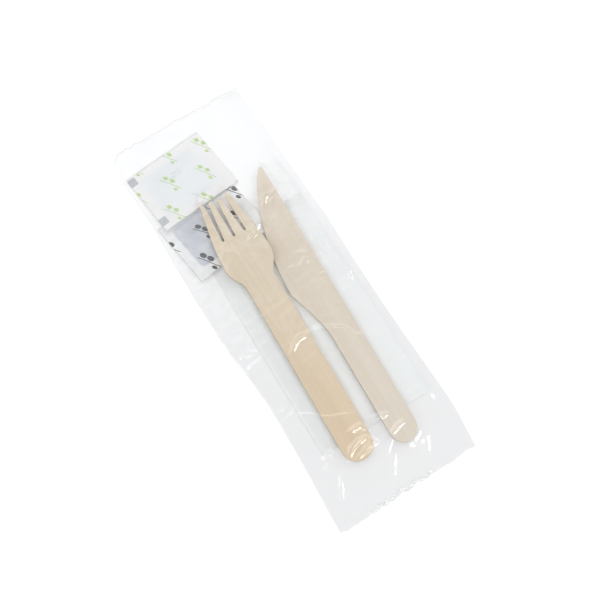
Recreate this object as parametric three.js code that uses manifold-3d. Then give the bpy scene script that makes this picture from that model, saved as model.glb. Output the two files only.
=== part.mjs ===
// Wooden cutlery kit: a birch fork and knife on a folded paper napkin, with a salt and a pepper
// sachet, welded into a flat bag of clear film. Millimetres, +Z up, +Y towards the cutlery's tips.
// The origin is the middle of the bag, whose back lies on z = 0.
import * as THREE from 'three';
import { mergeVertices } from 'three/addons/utils/BufferGeometryUtils.js';
import Module from 'manifold-3d';

const { clamp, degToRad, lerp, smoothstep } = THREE.MathUtils;
const wasm = await Module();
wasm.setup();

// Fits
const CLEAR = 0.3; // gap between pieces that lie on each other

// Bag of film
const FILM = 0.2; // film wall
const WELD = 2.5; // fused band at each end
const SEAM_GAP = 0.2; // gap along the welded long side
const FOOT_ROOM = 18.4; // from the knife's end to the lower edge
const HEAD_ROOM = 12.6; // from the salt sachet's corner to the upper edge
const SIDE_ROOM = 1.2; // from the salt sachet's corner to the left fold
const SIDE_SLACK = 3.9; // from the napkin to the welded right side
const FOLD_RISE = 0.9; // least inside height at the sides
const WAIST = 1.2; // how far each side is drawn in beside the handles
const END_DRAW = 1.4; // how far each side is drawn in at the welded ends
const END_REACH = 20; // length over which it is

// Napkin, folded to two leaves
const NAPKIN_WIDTH = 62.5;
const NAPKIN_LENGTH = 125;
const LEAF = 0.65; // thickness of one leaf
const LEAF_GAP = 0.3; // gap between the leaves
const NAPKIN_ASIDE = -7.9; // its middle, from the knife's end
const NAPKIN_UP = 16.2; // its lower edge, from the knife's end
const NAPKIN_TURN = -1.15; // degrees

// Sachets
const SACHET_WIDTH = 47;
const SACHET_HEIGHT = 38;
const SEAL = 5; // sealed margin all round
const PAPER = 0.15; // one wall of paper
const SALT_FILL = 2.4; // height of the contents at their thickest
const SALT_HEAP = 0.45; // where that is, as a share of the width
const SALT_ASIDE = -24.8; // its middle, from the knife's end
const SALT_LAP = 4.7; // how far it lies over the pepper sachet
const SALT_TURN = 5.85; // degrees
const PEPPER_FILL = 2.2;
const PEPPER_HEAP = 0.22;
const PEPPER_ASIDE = -23.9;
const PEPPER_LAP = 12.9; // how far it lies over the napkin
const PEPPER_TURN = 7.85;

// Birch veneer
const VENEER = 1.6;

// Knife
const KNIFE_LENGTH = 165.6;
const KNIFE_HANDLE = 14.3; // width of the handle
const KNIFE_END = 8; // depth of the rounded end
const BLADE_WIDTH = 21.6; // from the back to the edge at the heel
const BLADE_LENGTH = 71.5; // from the heel to the tip
const HEEL_RUN = 32; // from the handle to the heel
const TIP_FALL = 4; // depth of the rounded tip
const TIP_INSET = 0.8; // from the back to the tip
const TIP_SWEEP = 0.2; // share of the blade's length over which the edge falls steeply
const TIP_DROP = 0.62; // share of its width that it has then fallen
const EDGE_RUN = 0.34; // share of its length along which the edge is straight
const HEEL_BEND = 0.22; // share of the heel's run that bends away from the edge
const NECK_BEND = 0.36; // share of the heel's run that bends into the handle
const EDGE = 0.6; // thickness of the cutting edge
const BEVEL = 6; // width of the thinned band behind it
const TOOTH_PITCH = 1.8;
const TOOTH_DEPTH = 0.35;
const KNIFE_TURN = -2.87; // degrees

// Fork
const FORK_LENGTH = 154.6;
const FORK_HANDLE = 16.4; // width of the handle
const FORK_END = 8; // depth of the rounded end
const FORK_HEAD = 26.6; // width of the head
const HEAD_LENGTH = 50.6; // from the neck to the tips
const SHOULDER = 13; // from the neck to the widest place
const TIP_SPAN = 17.2; // width across the tips
const TIP_ROUND = 2.4; // depth of each rounded tip
const TINES = 4;
const TINE_LENGTH = 22.5;
const SLOT_ROOT = 1.3; // width of a slot at its root
const SLOT_MOUTH = 2.3; // width of a slot at the tips
const DISH = 2.2; // how far the head's sides rise
const TIP_LIFT = 2.6; // how far the tips rise
const HANDLE_ARCH = 0.8;
const FORK_ASIDE = -23.6; // its end, from the knife's end
const FORK_UP = 4.5;
const FORK_TURN = -2.5; // degrees

// Fineness of the surfaces
const SHEET_CELL = 4; // pressed veneer
const PAPER_CELL = 4; // sachets
const FILM_CELL = 5; // bag
const RASTER = 1; // heights of the pile
const CURVE_STEPS = 8; // chords in each round of an outline
const MERGE = 1e-4; // corners closer than this are one
const RELAX_ROUNDS = 600; // rounds that settle the film

// Heights of the stack, from the back of the bag
const NAPKIN_SEAT = FILM + CLEAR;
const NAPKIN_THICK = 2 * LEAF + LEAF_GAP;
const CUTLERY_SEAT = NAPKIN_SEAT + NAPKIN_THICK + CLEAR;

// Places of the sachets, from the knife's end
const PEPPER_UP = NAPKIN_UP + NAPKIN_LENGTH - PEPPER_LAP + SACHET_HEIGHT / 2;
const SALT_UP = PEPPER_UP + SACHET_HEIGHT - SALT_LAP;

const birchPale = new THREE.MeshStandardMaterial({ color: 0xdfcfbc, roughness: 0.7, metalness: 0 });
const birchWarm = new THREE.MeshStandardMaterial({ color: 0xe0caa4, roughness: 0.7, metalness: 0 });
const tissue = new THREE.MeshStandardMaterial({ color: 0xf7f7f5, roughness: 0.95, metalness: 0 });
const saltPaper = new THREE.MeshStandardMaterial({ color: 0xe6eaec, roughness: 0.6, metalness: 0 });
const pepperPaper = new THREE.MeshStandardMaterial({ color: 0xcfd2da, roughness: 0.6, metalness: 0 });
const clearFilm = new THREE.MeshStandardMaterial({
  color: 0xf3f6f8,
  roughness: 0.15,
  metalness: 0,
  transparent: true,
  opacity: 0.25,
});

// A closed geometry as a solid that can be cut and joined
function solid(geometry) {
  const bare = new THREE.BufferGeometry();
  bare.setAttribute('position', geometry.getAttribute('position'));
  bare.setIndex(geometry.index);
  const merged = mergeVertices(bare, MERGE);
  return new wasm.Manifold(new wasm.Mesh({
    numProp: 3,
    vertProperties: new Float32Array(merged.getAttribute('position').array),
    triVerts: new Uint32Array(merged.index.array),
  }));
}

// A cut solid as a geometry again
function geometryOf(body) {
  const mesh = body.getMesh();
  const geometry = new THREE.BufferGeometry();
  geometry.setAttribute('position', new THREE.BufferAttribute(mesh.vertProperties, 3));
  geometry.setIndex(new THREE.BufferAttribute(mesh.triVerts, 1));
  geometry.computeVertexNormals();
  return geometry;
}

// A named mesh on the z = 0 plane, turned about its own origin
function piece(name, geometry, material, x, y, turn) {
  const mesh = new THREE.Mesh(geometry, material);
  mesh.name = name;
  mesh.rotation.order = 'ZYX';
  mesh.rotation.z = degToRad(turn);
  mesh.position.set(x, y, 0);
  return mesh;
}

// A block of cells: place(corner, column, row, top) puts each corner where it belongs
function block(columns, rows, place) {
  const geometry = new THREE.BoxGeometry(columns, rows, 1, columns, rows, 1);
  const position = geometry.getAttribute('position');
  const corner = new THREE.Vector3();
  for (let n = 0; n < position.count; n += 1) {
    const column = Math.round(position.getX(n) + columns / 2);
    const row = Math.round(position.getY(n) + rows / 2);
    place(corner, column, row, position.getZ(n) > 0);
    position.setXYZ(n, corner.x, corner.y, corner.z);
  }
  return geometry;
}

// A plain box between two corners
function box(x0, x1, y0, y1, z0, z1) {
  const geometry = new THREE.BoxGeometry(x1 - x0, y1 - y0, z1 - z0);
  return geometry.translate((x0 + x1) / 2, (y0 + y1) / 2, (z0 + z1) / 2);
}

// The heights of what already lies in the bag, on a raster over the plan
class Pile {
  constructor(floor) {
    this.floor = floor;
    this.heights = new Map();
  }

  static key(column, row) {
    return `${column},${row}`;
  }

  // Calls visit(column, row, height) wherever the raster meets one of the mesh's triangles
  static scan(mesh, visit) {
    mesh.updateMatrixWorld();
    const position = mesh.geometry.getAttribute('position');
    const order = mesh.geometry.index;
    const [a, b, c] = [new THREE.Vector3(), new THREE.Vector3(), new THREE.Vector3()];
    for (let n = 0; n < order.count; n += 3) {
      [a, b, c].forEach((corner, k) => {
        corner.fromBufferAttribute(position, order.getX(n + k)).applyMatrix4(mesh.matrixWorld);
      });
      const area = (b.x - a.x) * (c.y - a.y) - (c.x - a.x) * (b.y - a.y);
      if (Math.abs(area) < MERGE) continue;
      const lastColumn = Math.floor(Math.max(a.x, b.x, c.x) / RASTER);
      const lastRow = Math.floor(Math.max(a.y, b.y, c.y) / RASTER);
      for (let i = Math.ceil(Math.min(a.x, b.x, c.x) / RASTER); i <= lastColumn; i += 1) {
        for (let j = Math.ceil(Math.min(a.y, b.y, c.y) / RASTER); j <= lastRow; j += 1) {
          const x = i * RASTER - a.x;
          const y = j * RASTER - a.y;
          const v = (x * (c.y - a.y) - (c.x - a.x) * y) / area;
          const w = ((b.x - a.x) * y - x * (b.y - a.y)) / area;
          if (v >= 0 && w >= 0 && v + w <= 1) {
            visit(i, j, a.z + v * (b.z - a.z) + w * (c.z - a.z));
          }
        }
      }
    }
  }

  add(mesh) {
    Pile.scan(mesh, (i, j, z) => {
      const key = Pile.key(i, j);
      this.heights.set(key, Math.max(z, this.heights.get(key) ?? this.floor));
    });
  }

  // The highest point within reach of a place
  highest(x, y, reach) {
    let top = this.floor;
    for (let i = Math.ceil((x - reach) / RASTER); i <= (x + reach) / RASTER; i += 1) {
      for (let j = Math.ceil((y - reach) / RASTER); j <= (y + reach) / RASTER; j += 1) {
        top = Math.max(top, this.heights.get(Pile.key(i, j)) ?? this.floor);
      }
    }
    return top;
  }

  // A smooth cover over the pile, for limp paper with cells of the given size
  cover(x, y, cell) {
    let sum = 0;
    const offsets = [-cell, -cell / 2, 0, cell / 2, cell];
    for (const dx of offsets) {
      for (const dy of offsets) sum += this.highest(x + dx, y + dy, 2 * cell);
    }
    return sum / offsets.length ** 2;
  }

  // Lays a stiff piece down: its end on the napkin, its head tipped up until it clears the pile
  lay(mesh) {
    mesh.position.z = CUTLERY_SEAT;
    let tilt = 0;
    Pile.scan(mesh, (i, j, z) => {
      const x = i * RASTER;
      const y = j * RASTER;
      const short = this.highest(x, y, RASTER) + CLEAR - z;
      const lever = Math.hypot(x - mesh.position.x, y - mesh.position.y);
      tilt = Math.max(tilt, Math.atan2(short, lever));
    });
    mesh.rotation.x = tilt;
    this.add(mesh);
  }
}

// A sheet of veneer over an outline's box: form(x, y) is its lower face, wall(x, y) its thickness
function pressedSheet(outline, form, wall) {
  const plan = new THREE.Box2().setFromPoints(outline.getPoints(CURVE_STEPS));
  plan.expandByScalar(SHEET_CELL / 2);
  const size = plan.getSize(new THREE.Vector2());
  const columns = Math.ceil(size.x / SHEET_CELL);
  const rows = Math.ceil(size.y / SHEET_CELL);
  return block(columns, rows, (corner, column, row, top) => {
    const x = lerp(plan.min.x, plan.max.x, column / columns);
    const y = lerp(plan.min.y, plan.max.y, row / rows);
    corner.set(x, y, form(x, y) + (top ? wall(x, y) : 0));
  });
}

// Punches a pressed sheet along an outline
function dieCut(sheet, outline) {
  const depth = 4 * (VENEER + DISH + TIP_LIFT + HANDLE_ARCH);
  const settings = { depth, bevelEnabled: false, curveSegments: CURVE_STEPS };
  const die = new THREE.ExtrudeGeometry(outline, settings).translate(0, 0, -depth / 2);
  return geometryOf(solid(sheet).intersect(solid(die)));
}

// Where a curve that runs along the piece crosses the height y
function crossing(curve, y) {
  const points = curve.getPoints(8 * CURVE_STEPS).sort((p, q) => p.y - q.y);
  const next = points.findIndex((p) => p.y >= y);
  if (next < 0) return points.at(-1).x;
  if (next === 0) return points[0].x;
  const [p, q] = [points[next - 1], points[next]];
  return lerp(p.x, q.x, (y - p.y) / Math.max(q.y - p.y, MERGE));
}

function makeFork() {
  const handle = FORK_HANDLE / 2;
  const head = FORK_HEAD / 2;
  const span = TIP_SPAN / 2;
  const neck = FORK_LENGTH - HEAD_LENGTH;
  const widest = neck + SHOULDER;
  const root = FORK_LENGTH - TINE_LENGTH + SLOT_ROOT / 2;
  const tipLine = FORK_LENGTH - TIP_ROUND;
  const taper = (tipLine - widest) / 3;
  const lean = (head - span) / 2;
  const side = new THREE.CubicBezierCurve(
    new THREE.Vector2(head, widest),
    new THREE.Vector2(head, widest + taper),
    new THREE.Vector2(span + lean, tipLine - taper),
    new THREE.Vector2(span, tipLine),
  );
  const slots = TINES - 1;
  const mouthPitch = (TIP_SPAN + SLOT_MOUTH) / TINES;
  const rootPitch = (2 * crossing(side, root) + SLOT_ROOT) / TINES;

  const outline = new THREE.Shape();
  outline.moveTo(-handle, FORK_END);
  outline.absellipse(0, FORK_END, handle, FORK_END, Math.PI, 2 * Math.PI);
  outline.lineTo(handle, neck);
  outline.bezierCurveTo(handle, neck + SHOULDER / 3, head, neck + SHOULDER / 2, head, widest);
  outline.bezierCurveTo(side.v1.x, side.v1.y, side.v2.x, side.v2.y, span, tipLine);
  let right = span;
  const roundTip = (left) => {
    const crown = tipLine + (4 / 3) * TIP_ROUND;
    outline.bezierCurveTo(right, crown, left, crown, left, tipLine);
  };
  for (let slot = 0; slot < slots; slot += 1) {
    const order = (slots - 1) / 2 - slot;
    const mouth = order * mouthPitch;
    const bottom = order * rootPitch;
    roundTip(mouth + SLOT_MOUTH / 2);
    outline.lineTo(bottom + SLOT_ROOT / 2, root);
    outline.absarc(bottom, root, SLOT_ROOT / 2, 0, -Math.PI, true);
    outline.lineTo(mouth - SLOT_MOUTH / 2, tipLine);
    right = mouth - SLOT_MOUTH / 2;
  }
  roundTip(-span);
  outline.bezierCurveTo(-side.v2.x, side.v2.y, -side.v1.x, side.v1.y, -head, widest);
  outline.bezierCurveTo(-head, neck + SHOULDER / 2, -handle, neck + SHOULDER / 3, -handle, neck);
  outline.closePath();

  const form = (x, y) => {
    const inHead = smoothstep(y, neck - SHOULDER / 2, widest);
    const toTip = clamp((y - widest) / (FORK_LENGTH - widest), 0, 1);
    const dish = DISH * inHead * (1 - toTip / 2) * (x / head) ** 2;
    const arch = HANDLE_ARCH * Math.sin(Math.PI * clamp(y / neck, 0, 1));
    return dish + TIP_LIFT * toTip ** 2 + arch;
  };
  return dieCut(pressedSheet(outline, form, () => VENEER), outline);
}

function makeKnife() {
  const half = KNIFE_HANDLE / 2;
  const heel = new THREE.Vector2(half - BLADE_WIDTH, KNIFE_LENGTH - BLADE_LENGTH);
  const tip = new THREE.Vector2(half - TIP_INSET, KNIFE_LENGTH);
  const belly = new THREE.CubicBezierCurve(
    tip,
    new THREE.Vector2(lerp(tip.x, heel.x, TIP_DROP), KNIFE_LENGTH - TIP_SWEEP * BLADE_LENGTH),
    new THREE.Vector2(heel.x, heel.y + EDGE_RUN * BLADE_LENGTH),
    heel,
  );
  const flare = new THREE.CubicBezierCurve(
    heel,
    new THREE.Vector2(lerp(heel.x, -half, HEEL_BEND), heel.y - HEEL_BEND * HEEL_RUN),
    new THREE.Vector2(-half, heel.y - (1 - NECK_BEND) * HEEL_RUN),
    new THREE.Vector2(-half, heel.y - HEEL_RUN),
  );

  const outline = new THREE.Shape();
  outline.moveTo(-half, KNIFE_END);
  outline.absellipse(0, KNIFE_END, half, KNIFE_END, Math.PI, 2 * Math.PI);
  outline.lineTo(half, KNIFE_LENGTH - TIP_FALL);
  outline.quadraticCurveTo(half, KNIFE_LENGTH, tip.x, tip.y);
  const teeth = Math.round(belly.getLength() / TOOTH_PITCH);
  for (let notch = 1; notch < 2 * teeth; notch += 1) {
    const along = notch / (2 * teeth);
    const tangent = belly.getTangentAt(along);
    const point = belly.getPointAt(along);
    const depth = notch % 2 ? TOOTH_DEPTH : 0;
    outline.lineTo(point.x - depth * tangent.y, point.y + depth * tangent.x);
  }
  outline.lineTo(heel.x, heel.y);
  outline.bezierCurveTo(flare.v1.x, flare.v1.y, flare.v2.x, flare.v2.y, flare.v3.x, flare.v3.y);
  outline.closePath();

  const wall = (x, y) => {
    const behind = x - (y > heel.y ? crossing(belly, y) : crossing(flare, y));
    const thin = smoothstep(y, heel.y - HEEL_RUN, heel.y) * (1 - clamp(behind / BEVEL, 0, 1));
    return VENEER - (VENEER - EDGE) * thin;
  };
  return dieCut(pressedSheet(outline, () => 0, wall), outline);
}

// A book fold: the lower leaf runs round the left edge into the upper one
function makeNapkin() {
  const half = NAPKIN_WIDTH / 2;
  const round = NAPKIN_THICK / 2;
  const fold = round - half;
  const section = new THREE.Shape();
  section.moveTo(half, 0);
  section.lineTo(half, LEAF);
  section.lineTo(fold, LEAF);
  section.absarc(fold, round, LEAF_GAP / 2, -Math.PI / 2, -1.5 * Math.PI, true);
  section.lineTo(half, NAPKIN_THICK - LEAF);
  section.lineTo(half, NAPKIN_THICK);
  section.lineTo(fold, NAPKIN_THICK);
  section.absarc(fold, round, round, Math.PI / 2, 1.5 * Math.PI, false);
  section.closePath();
  const settings = { depth: NAPKIN_LENGTH, bevelEnabled: false, curveSegments: CURVE_STEPS };
  const geometry = new THREE.ExtrudeGeometry(section, settings);
  geometry.rotateX(Math.PI / 2);
  geometry.translate(0, NAPKIN_LENGTH, NAPKIN_SEAT);
  return mergeVertices(geometry, MERGE);
}

// A sealed paper sachet that gives way to the pile below it. Its contents are thickest at the
// share `heap` of its width and thin out towards the far side.
function makeSachet(pile, fill, heap, x, y, turn) {
  const columns = Math.ceil(SACHET_WIDTH / PAPER_CELL);
  const rows = Math.ceil(SACHET_HEIGHT / PAPER_CELL);
  const spread = Math.max(heap, 1 - heap);
  const plan = new THREE.Vector2();
  const middle = new THREE.Vector2();
  return block(columns, rows, (corner, column, row, top) => {
    const across = column / columns;
    plan.set((across - 0.5) * SACHET_WIDTH, (row / rows - 0.5) * SACHET_HEIGHT);
    const edge = Math.min(SACHET_WIDTH / 2 - Math.abs(plan.x), SACHET_HEIGHT / 2 - Math.abs(plan.y));
    const inside = smoothstep(edge, SEAL, SACHET_HEIGHT / 2);
    const heaped = 1 - ((across - heap) / spread) ** 2;
    const place = plan.clone().rotateAround(middle, degToRad(turn));
    const base = pile.cover(x + place.x, y + place.y, PAPER_CELL) + CLEAR;
    const bulge = fill * Math.sqrt(inside) * heaped;
    corner.set(plan.x, plan.y, base + (top ? 2 * PAPER + bulge : 0));
  });
}

// Heights of the film's inner face: a taut skin over the pile, held down along its edges
function drapedFilm(pile, nodes, columns, rows) {
  const rest = nodes.map((line) => line.map((p) => pile.highest(p.x, p.y, FILM_CELL) + CLEAR));
  const isRim = (i, j) => i === 0 || i === columns || j === 0 || j === rows;
  const height = rest.map((line) => line.map((z, i) => {
    const side = i === 0 || i === columns;
    return side ? Math.max(z, FILM + FOLD_RISE) : z;
  }));
  for (let round = 0; round < RELAX_ROUNDS; round += 1) {
    for (let j = 0; j <= rows; j += 1) {
      for (let i = 0; i <= columns; i += 1) {
        if (isRim(i, j)) continue;
        const beside = height[j][i - 1] + height[j][i + 1] + height[j - 1][i] + height[j + 1][i];
        height[j][i] = Math.max(rest[j][i], beside / 4);
      }
    }
  }
  return height;
}

// The bag around its contents: a web folded along its left side over a flat back, with a draped
// front, and welded at both ends and along its right side
function makeBag(pile, inside) {
  const left = inside.min.x - SIDE_ROOM - FILM;
  const right = inside.max.x + SIDE_SLACK + FILM;
  const lower = inside.min.y - FOOT_ROOM;
  const upper = inside.max.y + HEAD_ROOM;
  const middle = (left + right) / 2;
  const columns = Math.ceil((right - left) / FILM_CELL);
  const rows = Math.ceil((upper - lower - 2 * WELD) / FILM_CELL);
  const handles = FORK_LENGTH - HEAD_LENGTH;
  const waistAt = inside.min.y + FORK_UP + handles / 2;
  const halfWidth = (y) => {
    const away = clamp((y - waistAt) / handles, -0.5, 0.5);
    const toEnd = clamp(Math.min(y - lower, upper - y) / END_REACH, 0, 1);
    const drawn = WAIST * Math.cos(Math.PI * away) ** 2 + END_DRAW * (1 - toEnd) ** 2;
    return (right - left) / 2 - drawn;
  };
  const sideways = (column, half) => middle + (2 * column / columns - 1) * half;
  const rowAt = (row) => lerp(lower + WELD, upper - WELD, row / rows);

  const nodes = [];
  for (let row = 0; row <= rows; row += 1) {
    const y = rowAt(row);
    const line = [];
    for (let column = 0; column <= columns; column += 1) {
      line.push(new THREE.Vector2(sideways(column, halfWidth(y)), y));
    }
    nodes.push(line);
  }
  const height = drapedFilm(pile, nodes, columns, rows);

  const outer = block(columns, rows + 2, (corner, column, row, top) => {
    const atEnd = row === 0 || row === rows + 2;
    const y = atEnd ? (row === 0 ? lower : upper) : rowAt(row - 1);
    const crown = atEnd ? 2 * FILM : height[row - 1][column] + FILM;
    corner.set(sideways(column, halfWidth(y)), y, top ? crown : -FILM);
  });
  const hollow = block(columns, rows, (corner, column, row, top) => {
    const y = rowAt(row);
    corner.set(sideways(column, halfWidth(y) - FILM), y, top ? height[row][column] : -FILM);
  });
  const highest = Math.max(...height.flat()) + 2 * FILM;
  const aboveTable = box(left - FILM, right + FILM, lower - FILM, upper + FILM, 0, highest);
  const aboveBack = box(left - FILM, right + FILM, lower - FILM, upper + FILM, FILM, highest);

  const seamStart = right - SIDE_SLACK;
  const low = lower + 2 * WELD;
  const high = upper - 2 * WELD;
  const seam = box(seamStart, right + FILM, low, high, FILM, FILM + SEAM_GAP);
  const pouch = solid(outer).intersect(solid(aboveTable));
  const film = pouch.subtract(solid(hollow).intersect(solid(aboveBack)));
  return geometryOf(film.subtract(solid(seam)));
}

// The kit is packed from the back of the bag up
const pile = new Pile(FILM);
const napkin = piece('napkin', makeNapkin(), tissue, NAPKIN_ASIDE, NAPKIN_UP, NAPKIN_TURN);
pile.add(napkin);
const pepperGeometry = makeSachet(pile, PEPPER_FILL, PEPPER_HEAP, PEPPER_ASIDE, PEPPER_UP, PEPPER_TURN);
const pepper = piece('pepper_sachet', pepperGeometry, pepperPaper, PEPPER_ASIDE, PEPPER_UP, PEPPER_TURN);
pile.add(pepper);
const saltGeometry = makeSachet(pile, SALT_FILL, SALT_HEAP, SALT_ASIDE, SALT_UP, SALT_TURN);
const salt = piece('salt_sachet', saltGeometry, saltPaper, SALT_ASIDE, SALT_UP, SALT_TURN);
pile.add(salt);
const knife = piece('knife', makeKnife(), birchPale, 0, 0, KNIFE_TURN);
pile.lay(knife);
const fork = piece('fork', makeFork(), birchWarm, FORK_ASIDE, FORK_UP, FORK_TURN);
pile.lay(fork);

const contents = new THREE.Group().add(napkin, pepper, salt, knife, fork);
const inside = new THREE.Box3().setFromObject(contents, true);
const bag = piece('bag', makeBag(pile, inside), clearFilm, 0, 0, 0);
const outside = new THREE.Box3().setFromObject(bag, true).getCenter(new THREE.Vector3());

const kit = new THREE.Group().add(bag, contents);
kit.position.set(-outside.x, -outside.y, 0);
export default kit;
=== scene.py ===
import math

import bpy
import numpy as np
from mathutils import Matrix, Vector, noise
from mathutils.bvhtree import BVHTree


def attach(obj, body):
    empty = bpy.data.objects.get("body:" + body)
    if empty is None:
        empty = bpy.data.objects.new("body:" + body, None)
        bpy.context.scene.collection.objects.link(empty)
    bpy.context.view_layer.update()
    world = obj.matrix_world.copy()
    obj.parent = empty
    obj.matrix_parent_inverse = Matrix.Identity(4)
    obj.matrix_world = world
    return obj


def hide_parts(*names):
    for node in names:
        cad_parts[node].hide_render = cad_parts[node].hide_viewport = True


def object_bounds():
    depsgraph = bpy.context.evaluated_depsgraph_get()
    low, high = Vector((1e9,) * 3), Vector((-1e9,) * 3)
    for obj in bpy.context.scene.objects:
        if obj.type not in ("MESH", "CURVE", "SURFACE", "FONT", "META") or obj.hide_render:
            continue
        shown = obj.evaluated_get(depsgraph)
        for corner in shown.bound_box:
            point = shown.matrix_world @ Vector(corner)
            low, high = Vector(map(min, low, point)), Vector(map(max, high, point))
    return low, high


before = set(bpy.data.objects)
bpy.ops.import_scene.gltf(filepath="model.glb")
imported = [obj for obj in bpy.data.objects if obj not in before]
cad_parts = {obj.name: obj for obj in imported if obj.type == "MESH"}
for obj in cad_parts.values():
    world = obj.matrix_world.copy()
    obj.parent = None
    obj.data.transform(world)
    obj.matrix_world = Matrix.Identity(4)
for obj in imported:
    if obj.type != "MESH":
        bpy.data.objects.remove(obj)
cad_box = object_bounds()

MM = 0.001

# View of the photograph
VIEW_AZIMUTH = -32.41
VIEW_ELEVATION = 73.44
VIEW_DISTANCE = 413.6
VIEW_TARGET = (4.05, -7.88, 0.0)
LENS = 48.0
SENSOR = 36.0
CLIP_NEAR = 0.01  # metres
CLIP_FAR = 20.0

# Places of the loose pieces
KNIFE_PLACE = (10.78, -98.04, 2.4)
KNIFE_TURN = -2.87
KNIFE_TILT = 0.264
FORK_PLACE = (-12.82, -93.54, 2.4)
FORK_TURN = -2.5
FORK_TILT = 0.539
NAPKIN_PLACE = (2.88, -81.84, 0.55)
NAPKIN_TURN = -1.15
SALT_PLACE = (-14.02, 82.56)
SALT_TURN = 5.85
PEPPER_PLACE = (-13.12, 49.26)
PEPPER_TURN = 7.85

# Birch veneer
VENEER = 1.6
ROUNDED = 0.28  # sanded edges
SHARP = 50.0  # degrees, above which an edge is sanded
FIBRE_SCALE = (900, 26, 300)
FIGURE_SCALE = (160, 7, 60)
PORE_SCALE = (2600, 170, 900)
WARM_RUN = (-0.07, 0.05)
CUT_FACES = (0.35, 0.8)  # upward part of the normal, from a cut edge to a face
GRAIN_RELIEF = 0.06

# Tones of each wood: pale, warm, dark and cut edge
FORK_TONES = (
    (0.75, 0.665, 0.53, 1),
    (0.74, 0.60, 0.43, 1),
    (0.60, 0.45, 0.28, 1),
    (0.60, 0.43, 0.23, 1),
)
KNIFE_TONES = (
    (0.75, 0.67, 0.555, 1),
    (0.755, 0.695, 0.60, 1),
    (0.63, 0.52, 0.40, 1),
    (0.62, 0.48, 0.32, 1),
)

# Knife
KNIFE_LENGTH = 165.6
KNIFE_HANDLE = 14.3
KNIFE_END = 8.0
BLADE_WIDTH = 21.6
BLADE_LENGTH = 71.5
HEEL_RUN = 32.0
TIP_FALL = 4.0
TIP_INSET = 0.8
TIP_SWEEP = 0.2
TIP_DROP = 0.62
EDGE_RUN = 0.34
HEEL_BEND = 0.22
NECK_BEND = 0.36
EDGE = 0.6
BEVEL = 6.0
TOOTH_PITCH = 1.8
TOOTH_DEPTH = 0.35
TOOTH_STEPS = 4
HANDLE_ROWS = 40
BLADE_POINTS = 15  # from the edge to the back

# Fork
FORK_LENGTH = 154.6
FORK_HANDLE = 16.4
FORK_END = 8.0
FORK_HEAD = 26.6
HEAD_LENGTH = 50.6
SHOULDER = 13.0
TIP_SPAN = 17.2
TIP_ROUND = 2.4
TINES = 4
TINE_LENGTH = 22.5
SLOT_ROOT = 1.3
SLOT_MOUTH = 2.3
DISH = 2.2
TIP_LIFT = 2.6
HANDLE_ARCH = 0.8
HANDLE_STEP = 2.0  # from row to row
HEAD_STEP = 1.0
TINE_STEP = 1.2
ROW_GAP = 0.4  # least, between two runs of rows
TINE_POINTS = 7  # across each tine

# Round ends of both handles
END_ANGLES = (8, 90)  # degrees
END_STEPS = 14

# Napkin, a square sheet folded three times
NAPKIN_SHEET = 250.0
NAPKIN_CELL = 3.125
FOLD_RUN = 2.6  # of sheet, laid round a fold
FOLD_STEPS = 14
PLY_STEP = 0.19  # from layer to layer
PRESSED = 0.2  # share of the height that is left at the edges under the film
PRESSED_RUN = 9.0
DROOP = 0.3  # of the edges towards the back film
NAPKIN_WAVE = 0.12
BORDER = (6.0, 13.0)  # embossed, from the sheet's edge
BORDER_DOTS = 3.6  # radians a millimetre
CREPE_SCALE = (700, 260, 260)
TISSUE_RELIEF = 0.08
TISSUE_TONES = ((0.82, 0.835, 0.83, 1), (0.87, 0.88, 0.875, 1))

# Sachets
SACHET_WIDTH = 47.0
SACHET_HEIGHT = 38.0
SACHET_COLUMNS = 80
SACHET_ROWS = 66
SEAL = 5.0
SEAL_THICK = 0.24
CRIMP_PITCH = 1.2
CRIMP_DEPTH = 0.05
PUCKER = 0.35
PUCKER_FOLDS = (9, 7)  # across and up
PUCKER_FINE = 2.3
JUST_INSIDE = 0.998  # share of the outline within which the solid is sounded
UNDER_SOFTEN = 14  # rounds
OVER_SOFTEN = 6
SALT_SEED = 8.3
PEPPER_SEED = 1.7

# Print on the sachets: slanted rows of rules between plain shapes
PRINT_SLANT = 62.0
PRINT_ROW = 14.0
PRINT_PITCH = 23.0
PRINT_SHIFT = 0.4  # from row to row, a share of the pitch
PRINT_START = 10.0
RULE_RUN = (2.0, 15.0)
RULE_HALF = 0.2
CHAMBER_ROUND = 5.0
HEAP_REACH = (0.25, 0.62)  # share of the width over which the tint of the grains fades
PAPER_RELIEF = 0.03
EYE_MARK_LONG = 4.4
EYE_MARK_HALF = 2.4
EYE_MARK_TONE = (0.36, 0.38, 0.42, 1)

# Plain shapes beside a rule: place along it, lift and half sizes
PRINT_SHAPES = ((4.4, 2.0, 1.9, 1.3), (8.6, 2.0, 1.9, 1.3), (12.4, -1.6, 1.5, 0.9))

# Looks of the two papers
SALT_PRINT = {
    "paper": (0.83, 0.815, 0.81, 1),
    "chamber": (0.73, 0.77, 0.785, 1),
    "ink": (0.42, 0.60, 0.19, 1),
    "heap": 0.42,
    "soft": 2.0,
    "is_round": False,
    "eye_marks": (5.6, 34.6),
}
PEPPER_PRINT = {
    "paper": (0.825, 0.825, 0.82, 1),
    "chamber": (0.435, 0.465, 0.54, 1),
    "ink": (0.02, 0.02, 0.025, 1),
    "heap": 0.2,
    "soft": 0.6,
    "is_round": True,
    "eye_marks": (),
}

# Film
FILM_MIRROR = 0.10
FILM_TINT = (0.976, 0.976, 0.977, 1)
FILM_ROUGH = 0.12
FILM_CRINKLE = 0.05
# Whiter melted film, and partly painted highlight: these near-white tones stand in for glints along the
# foot weld
MELTED_AND_GLINT_TONES = ((0.95, 0.96, 0.97, 1), (0.99, 0.99, 0.99, 1))

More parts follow.
